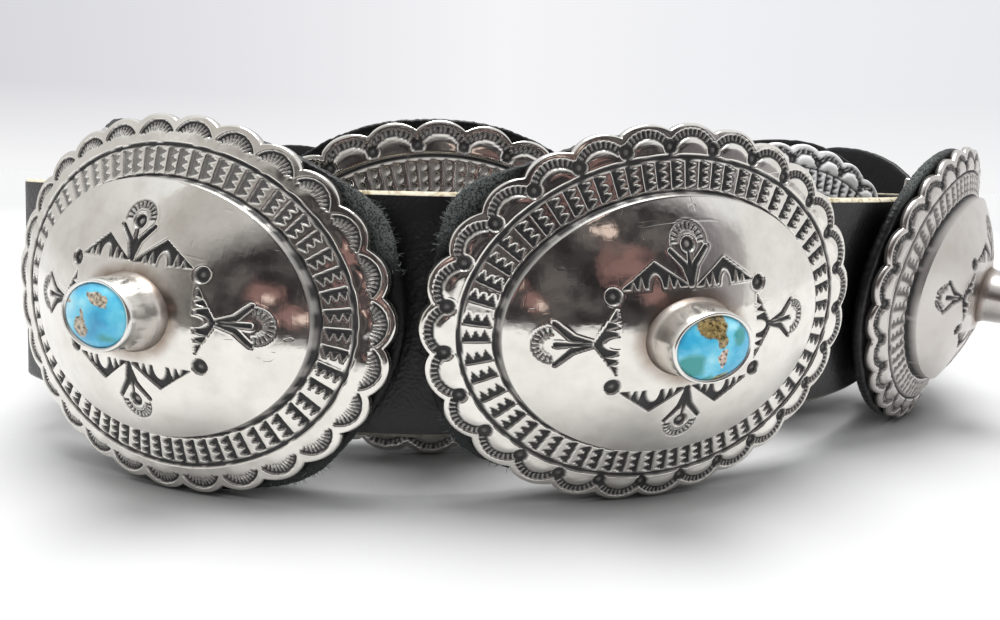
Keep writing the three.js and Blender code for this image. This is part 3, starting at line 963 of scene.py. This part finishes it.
def silver_material(kind):
    """Worn silver: nearly black in the stamps, as patina, and on the dome's wall, as patina and painted
    shade; lighter where its border's stamps are lightened; brown film by the bezel.
    """
    look = SILVERS[kind]
    n = Nodes(kind + "_silver")
    patina_and_shade = n.attribute("dark")
    cloud = n.noise(70, 4)
    film = n.noise(260, 5)
    worn = n.ramp(cloud, [(at, tuple(np.multiply(tone, look["tint"]))) for at, tone in SILVER_TONES])
    haze = n.math("MULTIPLY", n.ramp(film, [(0.45, 0.0), (0.75, 1.0)]), look["haze"], clamp=True)
    bright = n.mix(haze, worn, HAZE_TONE)
    brown = n.math("MULTIPLY", n.attribute("film"), n.ramp(film, [(0.3, 0.65), (0.6, 1.0)]))
    bright = n.mix(brown, bright, FILM_TONE)
    n.value("Base Color", n.mix(patina_and_shade, bright, n.ramp(film, SOOT_TONES)))
    n.value("Metallic", n.math("SUBTRACT", look["metal"], n.math("MULTIPLY", patina_and_shade, 0.75), clamp=True))

    stain = n.math("MAXIMUM", patina_and_shade, n.math("MULTIPLY", brown, 0.4))
    rough = n.math("ADD", look["rough"], n.math("MULTIPLY", cloud, 0.1))
    n.value("Roughness", n.math("ADD", rough, n.math("MULTIPLY", stain, 0.45)))
    streaks = n.scratches(1300, 2, 0.5, (1, 0.03, 1), 0.56, 0.76)
    crossing = n.scratches(1100, 2, -1.0, (0.04, 1, 1), 0.56, 0.78)
    scores = n.scratches(700, 1, 0.9, (1, 0.02, 1), 0.73, 0.76)
    more_scores = n.scratches(640, 1, -0.3, (0.02, 1, 1), 0.73, 0.76)
    soft = n.bump(n.math("MAXIMUM", scores, more_scores), -0.012, n.bump(cloud, 0.16))
    n.value("Normal", n.bump(n.math("ADD", streaks, crossing), 0.003, soft))
    return n.material


def turquoise_material(name, patches):
    """Polished turquoise. A patch is a colour, a middle, half sizes, how soft, and its turn."""
    n = Nodes(name)
    where = n.attribute("local", "Vector")
    warp = n.add("ShaderNodeTexNoise", Vector=where, Scale=420.0, Detail=4.0).outputs["Color"]
    moved = n.vector("ADD", where, n.vector("MULTIPLY", warp, (WARP * MM,) * 3)[0])[0]
    colour = n.ramp(n.noise(190, 4), [
        (0.28, (0.03, 0.28, 0.50)), (0.44, (0.05, 0.42, 0.66)),
        (0.58, (0.14, 0.57, 0.76)), (0.74, (0.38, 0.75, 0.85)),
    ])
    speck = n.noise(1700, 3)
    pits = n.ramp(speck, [(0.38, 1.0), (0.46, 0.0)])
    flecks = n.ramp(speck, [(0.5, 0.0), (0.66, 1.0)])
    for shade, (u, v), (a, b), soft, angle in patches:
        mapping = n.add(
            "ShaderNodeMapping",
            Vector=moved,
            Location=((u + WARP / 2) * MM, (v + WARP / 2) * MM, 0),
            Rotation=(0, 0, math.radians(angle)),
            Scale=(a * MM, b * MM, 100),
        )
        mapping.vector_type = "TEXTURE"
        reach = n.vector("LENGTH", mapping.outputs["Vector"])["Value"]
        mask = n.ramp(reach, [(1 - soft, 1.0), (1.0, 0.0)])
        if soft < MATRIX_SOFTNESS:
            pale = n.mix(flecks, shade, tuple(min(1, c * 1.9) for c in shade))
            shade = n.mix(pits, pale, tuple(c * 0.2 for c in shade))
        colour = n.mix(mask, colour, shade)
    n.value("Base Color", colour)
    n.value("Roughness", 0.1)
    n.value("Coat Weight", 0.4)
    n.value("Normal", n.bump(n.noise(900, 3), 0.01))
    return n.material


def leather_material(name, edge, gloss):
    """Black leather with a fine grain. The attribute edge marks raw leather or suede."""
    n = Nodes(name)
    raw = n.attribute(edge)
    grain = n.add("ShaderNodeTexVoronoi", Vector=n.attribute("grain", "Vector"), Scale=1500)
    fine = n.noise(2600, 4)
    cloud = n.noise(45, 4)
    black = n.ramp(cloud, [(0.3, (0.0035, 0.0035, 0.004)), (0.7, (0.009, 0.009, 0.010))])
    dust = n.ramp(fine, [(0.66, 0.0), (0.8, 0.4)])
    black = n.mix(dust, black, (0.04, 0.04, 0.04))
    if edge == "raw":
        shade = n.ramp(n.noise(700, 4), [(0.35, (0.34, 0.27, 0.15)), (0.55, (0.70, 0.64, 0.50))])
    else:
        shade = n.ramp(n.noise(3000, 3), [(0.4, (0.018, 0.021, 0.02)), (0.62, (0.13, 0.145, 0.14))])
    n.value("Base Color", n.mix(raw, black, shade))
    n.value("Roughness", n.math("ADD", 0.36, n.math("MULTIPLY", raw, 0.55)))
    n.value("Specular IOR Level", gloss)
    height = n.math("ADD", grain.outputs["Distance"], n.math("MULTIPLY", fine, 0.5))
    n.value("Normal", n.bump(height, 0.07, n.bump(n.noise(120, 3), 0.4)))
    return n.material


def fibre_material():
    n = Nodes("suede_fibre")
    n.value("Base Color", n.ramp(n.noise(400, 2), [(0.4, (0.03, 0.035, 0.034)), (0.6, (0.20, 0.22, 0.21))]))
    n.value("Roughness", 0.9)
    return n.material


# Floor, card and light, in metres

FLOOR_SIDE = 5.0
# The floor is painted darker further out, painted shade so that its far end meets the room's tone at the
# horizon
NEAR_FLOOR, FAR_FLOOR = 0.58, 0.47
# Floor colour for the painted contact shadow close to the belt
CONTACT_SHADOW_TONE = (0.06, 0.06, 0.058)
HORIZON = (0.93, 0.93, 0.935)
SUN_STRENGTH, SUN_ANGLE, SUN_TILT = 3.3, 36, -7
CARD_LEFT, CARD_RIGHT = -0.5, 0.66
CARD_FRONT, CARD_BACK = -0.2, -0.3
CARD_LOW, CARD_HIGH = 0.001, 0.44

# Spots on the card: how far right and up, their size and colour
PINK, GLARE = (0.30, 0.175, 0.165), (0.95, 0.76, 0.68)
SPOTS = [
    (0.085, 0.1, 0.05, PINK), (0.12, 0.05, 0.025, PINK), (0.066, 0.152, 0.018, GLARE),
    (0.045, 0.15, 0.012, GLARE), (-0.062, 0.058, 0.03, PINK), (-0.036, 0.03, 0.022, PINK),
    (-0.058, 0.052, 0.01, GLARE), (-0.026, 0.026, 0.01, GLARE),
]


def plane(name, corners, material, faces=((0, 1, 2, 3),)):
    mesh = bpy.data.meshes.new(name)
    mesh.from_pydata(corners, [], faces)
    mesh.materials.append(material)
    made = put(name, mesh)
    return made


def studio():
    floor = Nodes("floor_paint")
    reach = floor.vector("LENGTH", floor.stage_place())["Value"]
    tone = floor.ramp(reach, [(0.45, NEAR_FLOOR), (1.0, FAR_FLOOR)])
    # Painted contact shadow: the floor's colour turns nearly black where the ambient occlusion node finds
    # the belt close by
    contact_probe = floor.add("ShaderNodeAmbientOcclusion", Distance=0.012)
    unshadowed_share = floor.ramp(contact_probe.outputs["AO"], [(0.3, 0.1), (0.55, 0.75), (0.8, 1.0)])
    floor.value("Base Color", floor.mix(unshadowed_share, CONTACT_SHADOW_TONE, tone))
    floor.value("Roughness", 0.7)
    floor.value("Specular IOR Level", 0.2)
    corners = [(x * FLOOR_SIDE, y * FLOOR_SIDE, 0) for x, y in ((-1, -1), (1, -1), (1, 1), (-1, 1))]
    plane("floor", corners, floor.material)
    dim_card()

    # The room: even light, a little greyer to the sides, and the floor's own tone at the horizon
    scene = bpy.context.scene
    scene.view_settings.view_transform = "Standard"
    scene.world = bpy.data.worlds.new("studio")
    room = Nodes("studio", scene.world)
    x, _, z = room.add("ShaderNodeSeparateXYZ", Vector=room.stage_place("Generated")).outputs
    across = room.math("ADD", room.math("MULTIPLY", x, 0.5), 0.5)
    wall = room.ramp(across, [
        (0.05, (0.74, 0.73, 0.72)), (0.22, (0.69, 0.69, 0.72)), (0.5, (0.92, 0.915, 0.94)),
        (0.78, (0.81, 0.825, 0.845)), (0.95, 0.95),
    ])
    shade = room.mix(room.ramp(z, [(0.0, 0.0), (0.09, 1.0)]), HORIZON, wall)
    shade = room.mix(room.ramp(z, [(0.35, 0.0), (0.7, 1.0)]), shade, (0.98, 0.99, 1.0))
    room.set(room.tree.nodes["Background"].inputs["Color"], shade)

    lamp = put("soft_sun", bpy.data.lights.new("soft_sun", "SUN"))
    lamp.data.energy = SUN_STRENGTH
    lamp.data.angle = math.radians(SUN_ANGLE)
    lamp.rotation_euler.x = math.radians(SUN_TILT)


def dim_card():
    """The room's dim side, bent from the floor up behind the camera, for the silver to mirror."""
    n = Nodes("dim_card_paint")
    where = n.stage_place()
    nodes = n.tree.nodes
    nodes.remove(n.shader)
    x, y, z = n.add("ShaderNodeSeparateXYZ", Vector=where).outputs
    shake = n.add("ShaderNodeTexNoise", Vector=where, Scale=30.0, Detail=4.0)
    shaken = n.math("MULTIPLY", n.math("SUBTRACT", shake.outputs["Fac"], 0.5), 1.6)

    across = n.math("DIVIDE", n.math("SUBTRACT", x, CARD_LEFT), CARD_RIGHT - CARD_LEFT)
    side = n.ramp(across, [(0.2, 1.0), (0.33, 0.0), (0.6, 0.0), (0.76, 1.0)])
    side_tone = n.ramp(across, [
        (0.0, 0.93), (0.12, (0.68, 0.66, 0.64)), (0.26, (0.46, 0.44, 0.42)),
        (0.68, (0.32, 0.30, 0.32)), (0.85, (0.50, 0.475, 0.49)), (0.95, 0.93),
    ])
    line = n.ramp(across, [(0.28, 0.10), (0.42, 0.165), (0.5, 0.2), (0.75, 0.24)])
    top = n.math("MULTIPLY", n.math("SUBTRACT", z, line), 10.0, clamp=True)
    top_tone = n.ramp(across, [
        (0.0, (0.90, 0.89, 0.88)), (0.2, (0.56, 0.54, 0.52)),
        (0.5, (0.72, 0.71, 0.72)), (0.75, (0.90, 0.91, 0.94)),
    ])
    dim = n.ramp(n.noise(22, 4, where), [
        (0.36, (0.026, 0.023, 0.025)), (0.5, (0.056, 0.051, 0.053)), (0.66, (0.14, 0.128, 0.124)),
    ])
    for at_x, at_z, size, shade in SPOTS:
        gap = n.vector("DISTANCE", where, (at_x, CARD_BACK, at_z))["Value"]
        reach = n.math("ADD", n.math("DIVIDE", gap, size), shaken)
        dim = n.mix(n.ramp(reach, [(0.35, 1.0), (0.9, 0.0)]), dim, shade)

    glow = nodes.new("ShaderNodeEmission")
    n.set(glow.inputs["Color"], n.mix(top, n.mix(side, dim, side_tone), top_tone))
    clear = nodes.new("ShaderNodeBsdfTransparent")
    blend = nodes.new("ShaderNodeMixShader")
    near = n.math("ADD", n.math("DIVIDE", n.math("SUBTRACT", y, CARD_BACK + 0.02), 0.045), shaken)
    n.set(blend.inputs[0], n.ramp(near, [(0.0, 0.0), (1.0, 1.0)]))
    n.set(blend.inputs[1], glow.outputs[0])
    n.set(blend.inputs[2], clear.outputs[0])
    n.tree.links.new(blend.outputs[0], nodes["Material Output"].inputs["Surface"])

    bent = ((CARD_FRONT, CARD_LOW), (CARD_BACK, CARD_LOW), (CARD_BACK, CARD_HIGH))
    corners = [(end, *place) for place in bent for end in (CARD_LEFT, CARD_RIGHT)]
    card = plane("dim_card", corners, n.material, ((0, 1, 3, 2), (2, 3, 5, 4)))
    card.visible_camera = card.visible_diffuse = card.visible_shadow = False


# Stones of the two front plaques, and the kinds that the others take in turn. Patches less soft than
# MATRIX_SOFTNESS are matrix, with pits and flecks. WARP is how far noise moves a patch's outline.
MATRIX_SOFTNESS = 0.3
WARP = 2.4
TEAL, SKY_AND_HIGHLIGHT = (0.035, 0.30, 0.30), (0.34, 0.72, 0.84)
BROWN, TAN, OLIVE = (0.22, 0.16, 0.065), (0.33, 0.28, 0.21), (0.16, 0.17, 0.08)
ROSE = (0.42, 0.32, 0.26)
# The pale sky-blue patches, on the first stone's left and the second's upper right, are partly painted
# highlight
STONE_PATCHES = [
    [(SKY_AND_HIGHLIGHT, (-4.6, 1.5), (2.2, 2.6), 0.8, 0), (TEAL, (3.0, -3.2), (2.2, 1.0), 0.8, 0),
     (TAN, (1.3, 2.8), (2.3, 0.95), 0.12, -28), (TAN, (-1.9, -1.9), (1.6, 1.5), 0.12, 20),
     (TAN, (-1.5, 0.1), (0.5, 1.0), 0.2, 20), (TAN, (-5.2, 2.0), (0.8, 0.35), 0.2, 0)],
    [(TEAL, (-4.0, -2.3), (2.6, 2.5), 0.45, 0), (TEAL, (4.0, 1.6), (1.4, 1.9), 0.45, 0),
     (SKY_AND_HIGHLIGHT, (2.6, 3.2), (1.4, 1.0), 0.7, 0), (BROWN, (-0.7, 3.7), (2.7, 1.8), 0.15, 0),
     (BROWN, (0.7, 1.6), (1.0, 1.3), 0.2, 15), (ROSE, (1.1, -1.2), (0.8, 1.5), 0.12, 0),
     (OLIVE, (1.2, -4.5), (1.8, 0.55), 0.25, 8), (TEAL, (-1.0, -4.3), (1.4, 0.7), 0.6, 0)],
    [(TEAL, (-2, 1), (2.4, 1.6), 0.6, 0), (BROWN, (2.2, -1.5), (1.6, 0.7), 0.2, 30)],
    [(TEAL, (2, -1), (2.4, 1.9), 0.6, 0), (TAN, (-2.2, 1.8), (1.0, 0.8), 0.15, 0)],
]


def brown_film(points):
    """Tarnish on the dome close round the bezel's foot."""
    reach = np.hypot(points[:, 0] / BEZEL_FOOT[0], points[:, 1] / BEZEL_FOOT[1])
    return ramp(1.42, 1.0, reach)


def build():
    silvers = {kind: silver_material(kind) for kind in SILVERS}
    strap_leather = leather_material("strap_leather", "raw", 0.36)
    suede = leather_material("backing_leather", "suede", 0.2)
    fibres = fibre_material()
    stones = [turquoise_material(f"turquoise_{k + 1}", patches) for k, patches in enumerate(STONE_PATCHES)]
    stations, stops, end = route()

    # The strap moves to the middle of the CAD one
    half = STRAP_HEIGHT / 2
    corners = [
        strap_point(station, depth, height)
        for station in stations for depth in (0, -STRAP_THICK) for height in (-half, half)
    ]
    low, high = (np.array(c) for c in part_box("strap"))
    shift = (low + high) / 2 - (np.min(corners, 0) + np.max(corners, 0)) / 2 * MM
    shift[2] = 0

    dress(strap_piece(stations, shift, strap_leather), "black_leather", "strap")
    dress(clasp_piece(end, shift, silvers["worn"]), "silver", "clasp_hook")
    for i, (row, stop) in enumerate(zip(PLAQUES, stops)):
        number = f"{i + 1:02d}"
        place = plaque_place(number, stop, row["roll"])
        metal = silvers[row["silver"]]
        collar = silvers["collar"] if row["silver"] == "worn" else metal
        points, faces, dark = plaque_mesh(row, 100 + i)
        values = {"dark": dark, "film": 0.85 * brown_film(points)}
        piece = make_object("stamped_" + number, points, faces, metal, place, values)
        dress(piece, "silver", "plaque_" + number)
        points, faces, dark = bezel_mesh(300 + i)
        above = points[:, 2] - domed(points[:, 0], points[:, 1])
        values = {"dark": dark, "film": 0.9 * ramp(1.6, 0.3, above)}
        dress(make_object("bezel_" + number, points, faces, collar, place, values), "silver")
        dress(loop_piece(number, place, silvers["worn"]), "silver")
        points, faces, _ = stone_mesh(400 + i)
        piece = make_object("cabochon_" + number, points, faces, stones[i % 4], place)
        dress(piece, "turquoise", "stone_" + number)
        points, faces, rough = backing_mesh(row, 500 + i)
        piece = make_object("leather_oval_" + number, points, faces, suede, place, {"suede": rough})
        dress(piece, "black_leather", "backing_" + number)
        if row["columns"] == FINE:
            points, faces = fibre_mesh(row, 600 + i)
            dress(make_object("suede_fibres_" + number, points, faces, fibres, place), "black_leather")


studio()
build()
